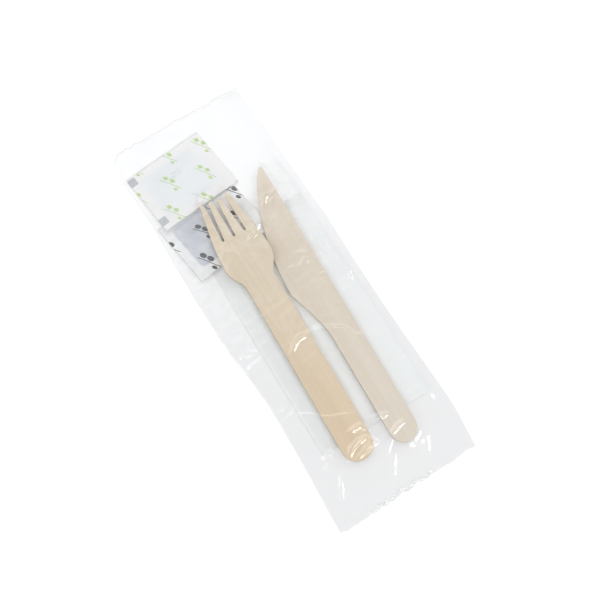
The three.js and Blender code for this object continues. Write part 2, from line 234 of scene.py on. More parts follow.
# Bag
BAG_LOW = -116.4
BAG_HIGH = 116.4
FILM_CELL = 0.64
FILM_CLEAR = 0.2  # over what lies in the bag
FILM_GAP = 0.05  # least, between the back film and the front film
WELD = 2.5
SIDE_WELD = 1.6
BACK_REST = 0.06
FOLD_RISE = 1.0
OPEN_RUN = 12.0  # from a weld to where the left fold stands open
END_CURL = 0.5
CURL_RUN = 14.0
END_RAGGED = 2.2
RAGGED_RUN = 8.0
CORNER = 6.0  # round corner at the left of the head
CORNER_RUN = 25.0
EDGE_SOFTEN = 25  # rows of film
SETTLE_ROUNDS = 420
SETTLE_PULL = 1.85
MERGE = 0.004

# Free film between the pieces, and how far from the welds and the fold it hangs loose
FREE_GAP = (0.3, 1.5)
LOOSE_END = 10.0
LOOSE_RIGHT = 6.0
LOOSE_LEFT = 0.05  # share of the width
SLOW_WAVE = 0.3
QUICK_WAVE = 0.16
STREAK = 0.12
STREAK_SHARP = 2.5
STREAK_SLANT = 0.3
STREAK_STRETCH = 0.35

# Melted seam in the end welds, and the beads on the one at the foot
SEAM_AT = 1.3
SEAM_HALF = 0.6
SEAM_HEIGHT = 0.35
BEAD_INSET = 1.2
BEAD_SPACING = 1.5
BEAD_SIZE = 0.9
BEAD_RUN = (-25.0, 11.0)

# Noise in the film: height, scale and seed
BACK_RIPPLES = ((0.08, 0.06, 11.3), (0.04, 0.25, 12.6))
RAGGED_BITS = ((0.6, 0.13, 3.4), (0.5, 0.42, 4.6))
CRUMPLE_FOLDS = ((2.2, 0.16, 31.0), (0.8, 0.37, 32.0))

# Side edges of the bag from its foot to its head, as (along, across)
LEFT_EDGE = (
    (-116, -41.9), (-99, -40.5), (-69, -38.9), (-49, -38.0), (-29, -39.1),
    (-11, -41.2), (26, -41.2), (71, -39.6), (99, -41.2), (116, -39.7),
)
RIGHT_EDGE = (
    (-116, 36.4), (-109, 37.8), (-94, 39.6), (-59, 39.3), (-39, 39.2),
    (1, 40.0), (21, 41.2), (61, 40.7), (101, 40.8), (116, 40.2),
)

# Creases of the film: height, half width and the points that the ridge runs through
CREASES = (
    (1.10, 2.1, ((-15.4, -30.6), (-12.0, -27.6), (-7.2, -25.9), (-2.2, -25.8))),
    (1.00, 2.5, ((1, -26.9), (7.7, -29.8), (12.5, -33.4), (19, -42.0))),
    (0.50, 1.3, ((-29, -57), (-20.1, -64.9), (-14.2, -69), (-4.3, -73.2))),
    (1.00, 2.0, ((-12, -78.4), (-6, -78.5), (-2.4, -84.2))),
    (1.00, 2.0, ((-19.4, -88.6), (-16.2, -85.5), (-11.9, -84.2), (-7.2, -85.2), (-4.8, -88.8))),
    (1.00, 2.0, ((-15.4, -91.6), (-9.6, -90.0), (-3.6, -87.4))),
    (0.95, 1.9, ((2, -78.6), (8.6, -81.4))),
    (0.95, 1.9, ((4.6, -90.6), (9.4, -88.6), (13.0, -88.4))),
    (0.55, 1.2, ((-2.5, -97), (4.5, -92.1))),
    (0.95, 1.7, ((15.1, 44.4), (17.6, 47.4), (20.2, 49.3))),
    (0.60, 1.3, ((20.2, 48.3), (24.2, 50.2))),
    (0.50, 1.1, ((16, 12.9), (20.9, 10.3))),
    (0.50, 1.0, ((7.4, 8.1), (10.4, 7.5))),
    (0.45, 1.0, ((17, 4), (18.3, 5.8))),
    (0.45, 1.0, ((19.7, -2.7), (21.6, -3.7))),
    (1.10, 2.0, ((-1.5, 31.7), (3.6, 33.6), (7.7, 37))),
    (0.45, 1.3, ((-36.8, -20.8), (-31.8, -20.9))),
    (0.60, 1.5, ((-30.2, -83.2), (-24.1, -82.3))),
    (0.66, 1.5, ((-36, -110), (-31.2, -99.7), (-25, -91))),
    (0.34, 1.4, ((-7.4, -110), (-2.3, -103.2), (1, -98))),
    (0.24, 1.3, ((14.7, -109), (17.8, -102.6), (18.5, -99))),
    (0.20, 1.3, ((-20.1, 86.1), (-11, 88.9))),
    (0.70, 1.4, ((26.8, 17.0), (28.6, 9.0), (31.0, -4.0))),
    (0.65, 1.3, ((32.6, 9.0), (33.6, 1.0), (34.8, -6.0))),
    (0.55, 1.0, ((31.0, -5.3), (34.3, -8.7), (32.8, -12.9))),
)
CREASE_FADE = 0.3
CREASE_ROUND = 0.4  # share of a ridge that is rounded
CREASE_WANDER = 1.0

# Places where the film is crumpled: across, along, reach and height
CRUMPLES = (
    (-9, -86, 13, 0.4),
    (9, -85, 8, 0.35),
    (13, -73, 8, 0.35),
    (18, 46, 7, 0.7),
    (16, 8, 11, 0.4),
    (4, 35, 7, 0.8),
    (-9, -27, 7, 0.4),
    (-34, -22, 8, 0.9),
    (-28, -86, 9, 0.7),
    (-31, -104, 9, 0.4),
    (-3, -103, 8, 0.4),
    (17, -101, 7, 0.2),
    (34, 8, 14, 0.25),
    (-33, -55, 9, 0.5),
    (33, -62, 10, 0.4),
    (-12, 66, 9, 0.6),
    (-16, 88, 10, 0.35),
)
CRUMPLE_CORE = 0.6  # share of the reach
CRUMPLE_LEAST = 0.12  # everywhere else

# Studio
FLOOR_HALF = 6000.0
FLOOR_SHADE = 0.55
FLOOR_GLOW = 0.45
SKY_TINT = (0.97, 0.985, 1, 1)
WORLD_LIGHT = 0.53
WORLD_BEYOND = 0.95
BEYOND_ALONG = (0.15, 0.55)
BEYOND_UP = (0.45, 0.65)
WALL_TOP = (0.12, 0.20)
LAMP_DISTANCE = 2.4  # metres

# Lamps: azimuth from beyond the head, elevation, width, height and power
LAMPS = {
    "right": (98, 32, 1.1, 0.28, 9.0),
    "front right": (143, 47, 1.0, 0.22, 8.0),
    "front": (175, 48, 1.1, 0.22, 8.0),
    "front left": (207, 48, 1.1, 0.22, 8.0),
    "left": (-80, 42, 0.7, 0.28, 4.5),
}


# Geometry helpers

def bezier(corners, count):
    """Points of a cubic curve through its end corners."""
    t = np.linspace(0, 1, count)[:, None]
    p = np.array(corners, float)
    return (1 - t) ** 3 * p[0] + 3 * t * (1 - t) ** 2 * p[1] + 3 * t**2 * (1 - t) * p[2] + t**3 * p[3]


def smoothstep(value, low, high):
    """0 below low, 1 above high and smooth between."""
    t = np.clip((value - low) / (high - low), 0, 1)
    return t * t * (3 - 2 * t)


def field(x, y, scale, seed):
    """Smooth noise over places, about -1 to 1."""
    flat = zip(x.ravel() * scale, y.ravel() * scale)
    return np.array([noise.noise((a, b, seed)) for a, b in flat]).reshape(x.shape)


def softened(heights, rounds):
    """Averages a grid of heights with its neighbours."""
    for _ in range(rounds):
        wide = np.pad(heights, 1, mode="edge")
        heights = (wide[1:-1, :-2] + wide[1:-1, 2:] + wide[:-2, 1:-1] + wide[2:, 1:-1]) / 4
    return heights


def round_end(half, depth):
    """One side of a handle's round end, from near its middle outwards."""
    angles = np.radians(np.linspace(*END_ANGLES, END_STEPS))
    return np.column_stack([half * np.sin(angles), depth * (1 - np.cos(angles))])


def placing(place, turn, tilt=0.0):
    """Takes a piece's own points to where it lies in the bag."""
    return (
        Matrix.Translation(place)
        @ Matrix.Rotation(math.radians(turn), 4, "Z")
        @ Matrix.Rotation(math.radians(tilt), 4, "X")
    )


def moved(points, matrix):
    points = np.asarray(points, float)
    turn = np.array(matrix.to_3x3())
    return points @ turn.T + np.array(matrix.translation)


def make_piece(name, points, faces, material, smooth=True):
    """A mesh object from points in millimetres."""
    mesh = bpy.data.meshes.new(name)
    mesh.from_pydata((np.asarray(points) * MM).tolist(), [], faces)
    mesh.materials.append(material)
    mesh.polygons.foreach_set("use_smooth", [smooth] * len(mesh.polygons))
    mesh.update()
    piece = bpy.data.objects.new(name, mesh)
    bpy.context.scene.collection.objects.link(piece)
    return piece


def set_uv(piece, flat):
    """Gives each corner the flat coordinates of its point."""
    layer = piece.data.uv_layers.new(name="flat")
    order = np.zeros(len(piece.data.loops), int)
    piece.data.loops.foreach_get("vertex_index", order)
    layer.data.foreach_set("uv", np.asarray(flat, float)[order].ravel())


def grid_faces(rows, columns):
    """Quads of a grid whose points run along each row."""
    faces = []
    for row in range(rows - 1):
        for column in range(columns - 1):
            a = row * columns + column
            faces.append((a, a + 1, a + columns + 1, a + columns))
    return faces


def merged(points, faces):
    """Joins points that meet, and drops faces that close up."""
    keys = np.round(points / MERGE).astype(np.int64)
    _, first, number = np.unique(keys, axis=0, return_index=True, return_inverse=True)
    number = number.ravel()
    kept = []
    for face in faces:
        ring = list(dict.fromkeys(int(number[k]) for k in face))
        if len(ring) > 2:
            kept.append(ring)
    return points[first], kept


def closed_solid(plan_faces, lower, upper):
    """Points and faces of the solid between two copies of a plan, with its rim."""
    count = len(lower)
    faces = [tuple(face) for face in plan_faces]
    faces += [tuple(count + k for k in reversed(face)) for face in plan_faces]
    rim = {}
    for face in plan_faces:
        for a, b in zip(face, face[1:] + face[:1]):
            if (b, a) in rim:
                del rim[(b, a)]
            else:
                rim[(a, b)] = True
    faces += [(a, count + a, count + b, b) for a, b in rim]
    return np.vstack([upper, lower]), faces


def plate(rows, lower, wall):
    """A plate of veneer from rows of lanes of plan points; lower and wall give its faces."""
    numbers = {}
    plan = []

    def number(point):
        key = (round(point[0], 3), round(point[1], 3))
        if key not in numbers:
            numbers[key] = len(plan)
            plan.append(point)
        return numbers[key]

    lines = [[[number(point) for point in lane] for lane in row] for row in rows]
    faces = []
    for near, far in zip(lines, lines[1:]):
        for a, b in zip(near, far):
            for k in range(len(a) - 1):
                face = list(dict.fromkeys((a[k], a[k + 1], b[k + 1], b[k])))
                if len(face) > 2:
                    faces.append(face)
    plan = np.array(plan)
    z = lower(plan[:, 0], plan[:, 1])
    under = np.column_stack([plan, z])
    over = np.column_stack([plan, z + wall(plan[:, 0], plan[:, 1])])
    return closed_solid(faces, under, over)


def sand_edges(piece):
    """Rounds the sharp edges of a punched plate."""
    bevel = piece.modifiers.new("sanded", "BEVEL")
    bevel.width = ROUNDED * MM
    bevel.segments = 2
    bevel.limit_method = "ANGLE"
    bevel.angle_limit = math.radians(SHARP)
    bevel.harden_normals = True


# Shader helpers

class Wire:
    """A node's output that can stand in sums, products and comparisons."""

    def __init__(self, tree, socket=None):
        self.tree = tree
        self.socket = socket

    def node(self, kind, sockets=None, output=0, **settings):
        """Adds a node: its settings first, then the values or links of its sockets."""
        made = self.tree.nodes.new(kind)
        for name, value in settings.items():
            setattr(made, name, value)
        for key, value in (sockets or {}).items():
            if isinstance(value, Wire):
                self.tree.links.new(value.socket, made.inputs[key])
            else:
                made.inputs[key].default_value = value
        return Wire(self.tree, made.outputs[output] if made.outputs else None)

    def math(self, operation, *values):
        return self.node("ShaderNodeMath", dict(enumerate(values)), operation=operation)

    def __add__(self, other):
        return self.math("ADD", self, other)

    def __radd__(self, other):
        return self.math("ADD", other, self)

    def __sub__(self, other):
        return self.math("SUBTRACT", self, other)

    def __rsub__(self, other):
        return self.math("SUBTRACT", other, self)

    def __mul__(self, other):
        return self.math("MULTIPLY", self, other)

    def __rmul__(self, other):
        return self.math("MULTIPLY", other, self)

    def __truediv__(self, other):
        return self.math("DIVIDE", self, other)

    def __rtruediv__(self, other):
        return self.math("DIVIDE", other, self)

    def __lt__(self, other):
        return self.math("LESS_THAN", self, other)

    def __gt__(self, other):
        return self.math("GREATER_THAN", self, other)

    def __abs__(self):
        return self.math("ABSOLUTE", self)

    def ramp(self, low, high):
        """0 below low, 1 above high and smooth between."""
        sockets = {"Value": self, "From Min": low, "From Max": high}
        return self.node("ShaderNodeMapRange", sockets, interpolation_type="SMOOTHSTEP")

    def blend(self, first, second):
        """A colour between two colours, by this value."""
        sockets = {0: self, 6: first, 7: second}
        return self.node("ShaderNodeMix", sockets, output=2, data_type="RGBA")

    def coordinates(self, source, scale=(1, 1, 1), turn=0.0):
        place = self.node("ShaderNodeTexCoord", output=source)
        sockets = {"Vector": place, "Rotation": (0, 0, math.radians(turn)), "Scale": scale}
        return self.node("ShaderNodeMapping", sockets)

    def axis(self, name):
        return self.node("ShaderNodeSeparateXYZ", {"Vector": self}, output=name)

    def noise(self, vector, scale, detail=2.0, roughness=0.5):
        sockets = {"Vector": vector, "Scale": scale, "Detail": detail, "Roughness": roughness}
        return self.node("ShaderNodeTexNoise", sockets)

    def bump(self, height, relief, strength=1.0):
        """A normal tilted by a height, whose relief is in millimetres."""
        sockets = {"Height": height, "Distance": relief * MM, "Strength": strength}
        return self.node("ShaderNodeBump", sockets)


def new_material(name):
    """A material, and a bare wire in its tree to start expressions from."""
    material = bpy.data.materials.new(name)
    material.use_nodes = True
    tree = material.node_tree
    tree.nodes.clear()
    return material, Wire(tree)


def finish_material(wire, shader):
    wire.node("ShaderNodeOutputMaterial", {"Surface": shader})


def from_edge(place, size):
    """Distance to the nearer of two edges, for a place between 0 and a size."""
    return size / 2 - abs(place - size / 2)


# Materials

def birch(name, pale, warm, dark, rim, turn):
    """Bare birch veneer: fine grain along the piece, warmer towards the handle, browner cut edges."""
    material, wire = new_material(name)
    fibre = wire.coordinates("Object", FIBRE_SCALE, -turn)
    streak = wire.coordinates("Object", FIGURE_SCALE, -turn)
    pore = wire.coordinates("Object", PORE_SCALE, -turn)
    grain = wire.noise(fibre, 1.0, 4.0, 0.6)
    figure = wire.noise(streak, 1.0, 3.0, 0.55)
    flecks = wire.noise(pore, 1.0, 1.0).ramp(0.66, 0.74)
    tone = grain.ramp(0.3, 0.75) * 0.2 + figure.ramp(0.3, 0.7) * 0.25 + flecks * 0.15
    handle = 1 - (wire.coordinates("Object").axis("Y") + figure * 0.02).ramp(*WARM_RUN)
    ground = handle.blend(pale, warm)
    face = abs(wire.node("ShaderNodeNewGeometry", output="Normal").axis("Z"))
    cut = 1 - face.ramp(*CUT_FACES)
    colour = cut.blend(tone.blend(ground, dark), rim)
    normal = wire.bump(grain + flecks * -0.6, GRAIN_RELIEF, 0.5)
    sockets = {"Base Color": colour, "Roughness": grain * 0.15 + 0.55, "Normal": normal}
    finish_material(wire, wire.node("ShaderNodeBsdfPrincipled", sockets))
    return material


def tissue():
    """White creped tissue with an embossed border."""
    material, wire = new_material("tissue")
    flat = wire.coordinates("UV")
    u = flat.axis("X") * NAPKIN_SHEET
    v = flat.axis("Y") * NAPKIN_SHEET
    edge = wire.math("MINIMUM", from_edge(u, NAPKIN_SHEET), from_edge(v, NAPKIN_SHEET))
    border = (edge > BORDER[0]) * (edge < BORDER[1])
    dots = wire.math("SINE", u * BORDER_DOTS) * wire.math("SINE", v * BORDER_DOTS)
    crepe = wire.noise(wire.coordinates("Object", CREPE_SCALE), 1.0, 3.0)
    height = crepe * 0.5 + border * dots.ramp(0.2, 0.7) * 1.2
    tone = wire.noise(wire.coordinates("Object"), 60.0, 2.0)
    normal = wire.bump(height, TISSUE_RELIEF, 0.6)
    sockets = {"Base Color": tone.blend(*TISSUE_TONES), "Roughness": 0.95, "Normal": normal}
    finish_material(wire, wire.node("ShaderNodeBsdfPrincipled", sockets))
    return material


def printed_shape(along, across, sizes, is_round):
    """A lozenge or an oval of print beside a rule."""
    at, lift, half_length, half_height = sizes
    x = (along - at) / half_length
    y = (across - lift) / half_height
    if is_round:
        return (x * x + y * y) < 1
    return (abs(x) + abs(y)) < 1


def sachet_paper(name, paper, chamber, ink, heap, soft, is_round, eye_marks):
    """Coated paper: a tinted chamber in white seals, and slanted rules between plain shapes."""
    material, wire = new_material(name)
    flat = wire.coordinates("UV")
    x = flat.axis("X") * SACHET_WIDTH
    y = flat.axis("Y") * SACHET_HEIGHT
    margins = from_edge(x, SACHET_WIDTH), from_edge(y, SACHET_HEIGHT)
    inner = wire.math("SMOOTH_MIN", *margins, CHAMBER_ROUND).ramp(SEAL - soft, SEAL + soft)
    fade = 1 - abs(flat.axis("X") - heap).ramp(*HEAP_REACH)
    cloud = wire.noise(wire.coordinates("UV"), 5.0, 3.0).ramp(0.25, 0.75)
    filled = inner * (fade * 0.75 + 0.1) * (cloud * 0.4 + 0.6)
    slanted = wire.coordinates("UV", (SACHET_WIDTH, SACHET_HEIGHT, 1), PRINT_SLANT)
    across = slanted.axis("Y") + PRINT_START
    row = wire.math("FLOOR", across / PRINT_ROW)
    shifted = slanted.axis("X") + row * (PRINT_PITCH * PRINT_SHIFT)
    along = wire.math("WRAP", shifted, PRINT_PITCH, 0.0)
    height = wire.math("WRAP", across, PRINT_ROW, 0.0) - PRINT_ROW / 2
    printed = (abs(height) < RULE_HALF) * (along > RULE_RUN[0]) * (along < RULE_RUN[1])
    for sizes in PRINT_SHAPES:
        printed = wire.math("MAXIMUM", printed, printed_shape(along, height, sizes, is_round))
    speck = wire.noise(wire.coordinates("UV"), 160.0, 2.0).ramp(0.3, 0.5)
    colour = filled.blend(paper, chamber)
    for at in eye_marks:
        eye_mark = (x < EYE_MARK_LONG) * (abs(y - at) < EYE_MARK_HALF)
        colour = (eye_mark * 0.8).blend(colour, EYE_MARK_TONE)
    colour = (printed * (speck * 0.15 + 0.83)).blend(colour, ink)
    fibre = wire.noise(wire.coordinates("UV"), 90.0, 3.0)
    normal = wire.bump(fibre, PAPER_RELIEF, 0.5)
    sockets = {"Base Color": colour, "Roughness": fibre * 0.2 + 0.4, "Normal": normal}
    finish_material(wire, wire.node("ShaderNodeBsdfPrincipled", sockets))
    return material


def clear_film():
    """Glossy clear film, seen by what it mirrors."""
    material, wire = new_material("clear_film")
    crinkle = wire.noise(wire.coordinates("Object"), 260.0, 3.0, 0.6)
    normal = wire.bump(crinkle, FILM_CRINKLE)
    facing = wire.node("ShaderNodeLayerWeight", {"Blend": 0.5, "Normal": normal}, output="Facing")
    mirror = wire.math("POWER", facing, 5.0) * (1 - FILM_MIRROR) + FILM_MIRROR
    clear = wire.node("ShaderNodeBsdfTransparent", {"Color": FILM_TINT})
    sockets = {"Color": (1, 1, 1, 1), "Roughness": FILM_ROUGH, "Normal": normal}
    gloss = wire.node("ShaderNodeBsdfAnisotropic", sockets)
    finish_material(wire, wire.node("ShaderNodeMixShader", {0: mirror, 1: clear, 2: gloss}))
    return material


def melted_film_and_glints():
    """Film that has melted and set again along a weld: whiter, in places cloudier, and partly a painted
    highlight, its near-white drops standing in for glints along the weld.
    """
    material, wire = new_material("melted_film_and_glints")
    cloud = wire.noise(wire.coordinates("Object"), 500.0, 2.0)
    sockets = {
        "Base Color": cloud.blend(*MELTED_AND_GLINT_TONES),
        "Roughness": cloud * 0.2 + 0.1,
        # Near-white colour: partly the real whiteness of melted film, partly painted glints on the weld
        # beads
        "Alpha": cloud.ramp(0.35, 0.6) * 0.5 + 0.45,
    }
    finish_material(wire, wire.node("ShaderNodeBsdfPrincipled", sockets))
    return material


# Fork

def fork_form(x, y):
    """Lower face of the pressed fork."""
    neck = FORK_LENGTH - HEAD_LENGTH
    widest = neck + SHOULDER
    in_head = smoothstep(y, neck - SHOULDER / 2, widest)
    to_tip = np.clip((y - widest) / (FORK_LENGTH - widest), 0, 1)
    dish = DISH * in_head * (1 - to_tip / 2) * (x / (FORK_HEAD / 2)) ** 2
    arch = HANDLE_ARCH * np.sin(np.pi * np.clip(y / neck, 0, 1))
    return dish + TIP_LIFT * to_tip**2 + arch


def fork_rows():
    """Rows of plan points from the handle's end to the tips, in one lane for each tine."""
    handle, head, span = FORK_HANDLE / 2, FORK_HEAD / 2, TIP_SPAN / 2
    neck = FORK_LENGTH - HEAD_LENGTH
    widest = neck + SHOULDER
    root = FORK_LENGTH - TINE_LENGTH + SLOT_ROOT / 2
    root_end = root - SLOT_ROOT / 2
    tip_line = FORK_LENGTH - TIP_ROUND
    taper = (tip_line - widest) / 3
    lean = (head - span) / 2
    end = round_end(handle, FORK_END)
    shoulder = bezier([
        (handle, neck),
        (handle, neck + SHOULDER / 3),
        (head, neck + SHOULDER / 2),
        (head, widest),
    ], 40)
    side = bezier([
        (head, widest),
        (head, widest + taper),
        (span + lean, tip_line - taper),
        (span, tip_line),
    ], 60)
    edge = np.vstack([end, shoulder, side])

    def half(y):
        return np.interp(y, edge[:, 1], edge[:, 0])

    order = np.arange(TINES - 1) - (TINES - 2) / 2
    mouth_pitch = (TIP_SPAN + SLOT_MOUTH) / TINES
    root_pitch = (2 * half(root) + SLOT_ROOT) / TINES

    def bounds(y):
        """Left and right edges of each lane."""
        reach = half(min(y, tip_line))
        if y <= root_end:
            inner = order * root_pitch * reach / half(root_end)
            return np.append(-reach, inner), np.append(inner, reach)
        share = np.clip((y - root) / (tip_line - root), 0, 1)
        middle = order * (root_pitch + (mouth_pitch - root_pitch) * share)
        gap = (SLOT_ROOT + (SLOT_MOUTH - SLOT_ROOT) * share) / 2
        if y < root:
            gap = math.sqrt(max(0.0, (SLOT_ROOT / 2) ** 2 - (root - y) ** 2))
        left = np.append(-reach, middle + gap)
        right = np.append(middle - gap, reach)
        if y > tip_line:
            t = (1 - math.sqrt(1 - (y - tip_line) / TIP_ROUND)) / 2
            keep = 1 - 2 * (3 * t**2 - 2 * t**3)
            centre = (left + right) / 2
            return centre + (left - centre) * keep, centre + (right - centre) * keep
        return left, right

    root_angles = np.linspace(0, np.pi / 2, 6)
    tips = np.linspace(0, 0.44, 7)
    stations = np.concatenate([
        end[:, 1],
        np.arange(FORK_END + HANDLE_STEP, neck, HANDLE_STEP),
        np.arange(neck, root_end - ROW_GAP, HEAD_STEP),
        root - SLOT_ROOT / 2 * np.cos(root_angles),
        np.arange(root + HEAD_STEP, tip_line - ROW_GAP, TINE_STEP),
        tip_line + 4 * TIP_ROUND * tips * (1 - tips),
    ])
    rows = []
    for y in stations:
        left, right = bounds(y)
        rows.append([[(x, y) for x in np.linspace(a, b, TINE_POINTS)] for a, b in zip(left, right)])
    return rows


def make_fork():
    points, faces = plate(fork_rows(), fork_form, lambda x, y: np.full_like(x, VENEER))
    points = moved(points, placing(FORK_PLACE, FORK_TURN, FORK_TILT))
    wood = birch("birch_warm", *FORK_TONES, FORK_TURN)
    piece = make_piece("birch_fork", points, faces, wood)
    sand_edges(piece)
    return piece, points, faces


# Knife

def knife_rows():
    """Rows of plan points from the handle's end to the tip, the edge without teeth and its heel."""
    half = KNIFE_HANDLE / 2
    heel = np.array((half - BLADE_WIDTH, KNIFE_LENGTH - BLADE_LENGTH))
    tip = np.array((half - TIP_INSET, KNIFE_LENGTH))
    drop = tip[0] + (heel[0] - tip[0]) * TIP_DROP
    belly = bezier([
        heel,
        (heel[0], heel[1] + EDGE_RUN * BLADE_LENGTH),
        (drop, KNIFE_LENGTH - TIP_SWEEP * BLADE_LENGTH),
        tip,
    ], 400)
    bend = heel[0] + (-half - heel[0]) * HEEL_BEND
    flare = bezier([
        (-half, heel[1] - HEEL_RUN),
        (-half, heel[1] - (1 - NECK_BEND) * HEEL_RUN),
        (bend, heel[1] - HEEL_BEND * HEEL_RUN),
        heel,
    ], 60)
    end = round_end(-half, KNIFE_END)
    smooth_edge = np.vstack([end, flare, belly[1:]])

    steps = np.linalg.norm(np.diff(belly, axis=0), axis=1)
    run = np.concatenate([[0], np.cumsum(steps)])
    teeth = round(run[-1] / TOOTH_PITCH)
    at = np.linspace(0, run[-1], TOOTH_STEPS * teeth + 1)
    toothed = np.column_stack([np.interp(at, run, belly[:, 0]), np.interp(at, run, belly[:, 1])])
    along = np.gradient(toothed, axis=0)
    along /= np.linalg.norm(along, axis=1)[:, None]
    depth = TOOTH_DEPTH * (0.5 - 0.5 * np.cos(np.arange(len(at)) * 2 * np.pi / TOOTH_STEPS))
    toothed += depth[:, None] * np.column_stack([along[:, 1], -along[:, 0]])
    # The last tooth runs out before the tip
    toothed = toothed[:1 - TOOTH_STEPS]

    def back(y):
        fall = np.clip((KNIFE_LENGTH - y) / TIP_FALL, 0, 1)
        x = half - TIP_INSET * (1 - math.sqrt(fall)) ** 2
        if y < KNIFE_END:
            x = half * math.sqrt(1 - (1 - y / KNIFE_END) ** 2)
        return x

    along_handle = np.linspace(KNIFE_END + 1, heel[1] - HEEL_RUN - 1, HANDLE_ROWS)
    handle = np.column_stack([np.full(HANDLE_ROWS, -half), along_handle])
    left = np.vstack([end, handle, flare[::2], toothed])
    rows = []
    for x, y in left:
        rows.append([[(p, y) for p in np.linspace(x, back(y), BLADE_POINTS)]])
    return rows, smooth_edge, heel


def make_knife():
    rows, edge, heel = knife_rows()

    def wall(x, y):
        behind = x - np.interp(y, edge[:, 1], edge[:, 0])
        thin = smoothstep(y, heel[1] - HEEL_RUN, heel[1]) * (1 - np.clip(behind / BEVEL, 0, 1))
        return VENEER - (VENEER - EDGE) * thin

    points, faces = plate(rows, lambda x, y: np.zeros_like(x), wall)
    points = moved(points, placing(KNIFE_PLACE, KNIFE_TURN, KNIFE_TILT))
    wood = birch("birch_pale", *KNIFE_TONES, KNIFE_TURN)
    piece = make_piece("birch_knife", points, faces, wood)
    sand_edges(piece)
    return piece, points, faces


# Napkin

def fold_over(points, axis, line, level):
    """Folds what lies past a line over on itself, round an axis at a height."""
    past = points[:, axis] - line
    radius = level - points[:, 2]
    turn = np.clip(past / radius, 0, np.pi)
    folded = points.copy()
    beyond = np.maximum(past - np.pi * radius, 0)
    folded[:, axis] = line + radius * np.sin(turn) - beyond
    folded[:, 2] = level - radius * np.cos(turn)
    return np.where((past > 0)[:, None], folded, points)


def make_napkin():
    half = NAPKIN_SHEET / 2
    quarter = NAPKIN_SHEET / 4
    bends = np.linspace(0, FOLD_RUN, FOLD_STEPS)
    plain = np.arange(0, NAPKIN_SHEET + 1, NAPKIN_CELL)
    u = np.unique(np.round(np.concatenate([plain, *(k * quarter + bends for k in (1, 2, 3))]), 3))
    v = np.unique(np.round(np.concatenate([plain, half + bends]), 3))
    flat = np.array([(x, y, 0.0) for y in v for x in u])
    points = fold_over(flat, 0, half, 0.5 * PLY_STEP)
    points = fold_over(points, 1, half, 1.5 * PLY_STEP)
    points = fold_over(points, 0, quarter, 3.5 * PLY_STEP)
    outline = np.array([points[:, :2].min(axis=0), points[:, :2].max(axis=0)])
    margin = np.minimum(points[:, :2] - outline[0], outline[1] - points[:, :2]).min(axis=1)
    inside = smoothstep(margin, 0, PRESSED_RUN)
    points[:, 2] *= PRESSED + (1 - PRESSED) * inside
    points[:, 2] -= DROOP * (1 - inside)
    points[:, 2] += NAPKIN_WAVE * field(points[:, 0] * 0.03, points[:, 1] * 0.02, 1.0, 5.0)
    points[:, 0] = quarter / 2 - points[:, 0]
    points = moved(points, placing(NAPKIN_PLACE, NAPKIN_TURN))
    faces = [face[::-1] for face in grid_faces(len(v), len(u))]
    piece = make_piece("napkin_sheet", points, faces, tissue(), smooth=False)
    set_uv(piece, flat[:, :2] / NAPKIN_SHEET)
    return piece, points, faces


# Sachets

def node_tree(name):
    """The CAD solid of a node, for finding its faces."""
    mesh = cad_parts[name].data
    points = [vertex.co for vertex in mesh.vertices]
    return BVHTree.FromPolygons(points, [tuple(face.vertices) for face in mesh.polygons])


def make_sachet(name, node, place, turn, paper, seed):
    """A sachet that lies as its solid does, with crimped seals and puckers round the chamber."""
    rows, columns = SACHET_ROWS, SACHET_COLUMNS
    u, v = np.meshgrid(np.linspace(0, 1, columns), np.linspace(0, 1, rows))
    flat = np.column_stack([u.ravel(), v.ravel()])
    local = (flat - 0.5) * (SACHET_WIDTH, SACHET_HEIGHT)
    angle = math.radians(turn)
    spin = np.array([[math.cos(angle), math.sin(angle)], [-math.sin(angle), math.cos(angle)]])
    plan = local @ spin + np.array(place)
    solid = node_tree(node)
    low, high = [], []
    for x, y in (local * JUST_INSIDE) @ spin + np.array(place):
        down = solid.ray_cast(Vector((x * MM, y * MM, 1)), Vector((0, 0, -1)))
        up = solid.ray_cast(Vector((x * MM, y * MM, -1)), Vector((0, 0, 1)))
        high.append(down[0].z / MM)
        low.append(up[0].z / MM)
    low = softened(np.array(low).reshape(rows, columns), UNDER_SOFTEN)
    high = softened(np.array(high).reshape(rows, columns), OVER_SOFTEN)
    margin_x = np.minimum(u, 1 - u) * SACHET_WIDTH
    margin_y = np.minimum(v, 1 - v) * SACHET_HEIGHT
    margin = np.minimum(margin_x, margin_y)
    sealed = 1 - smoothstep(margin, SEAL - 1, SEAL)
    crimp = sealed * CRIMP_DEPTH * np.sin(2 * np.pi * margin / CRIMP_PITCH)
    spots = u * PUCKER_FOLDS[0], v * PUCKER_FOLDS[1]
    pucker = np.abs(field(*spots, 1.0, seed)) + 0.5 * np.abs(field(*spots, PUCKER_FINE, seed))
    pucker *= PUCKER * smoothstep(margin, SEAL - 1.5, SEAL + 2.5)
    thick = np.maximum(high - low, SEAL_THICK)
    upper = low + thick - pucker * np.minimum(1, thick) + crimp
    lower = low + crimp
    top = np.column_stack([plan, upper.ravel()])
    under = np.column_stack([plan, lower.ravel()])
    points, faces = closed_solid([list(face) for face in grid_faces(rows, columns)], under, top)
    piece = make_piece(name, points, faces, paper)
    set_uv(piece, np.vstack([flat, flat]))
    return piece, points, faces


# Bag of film

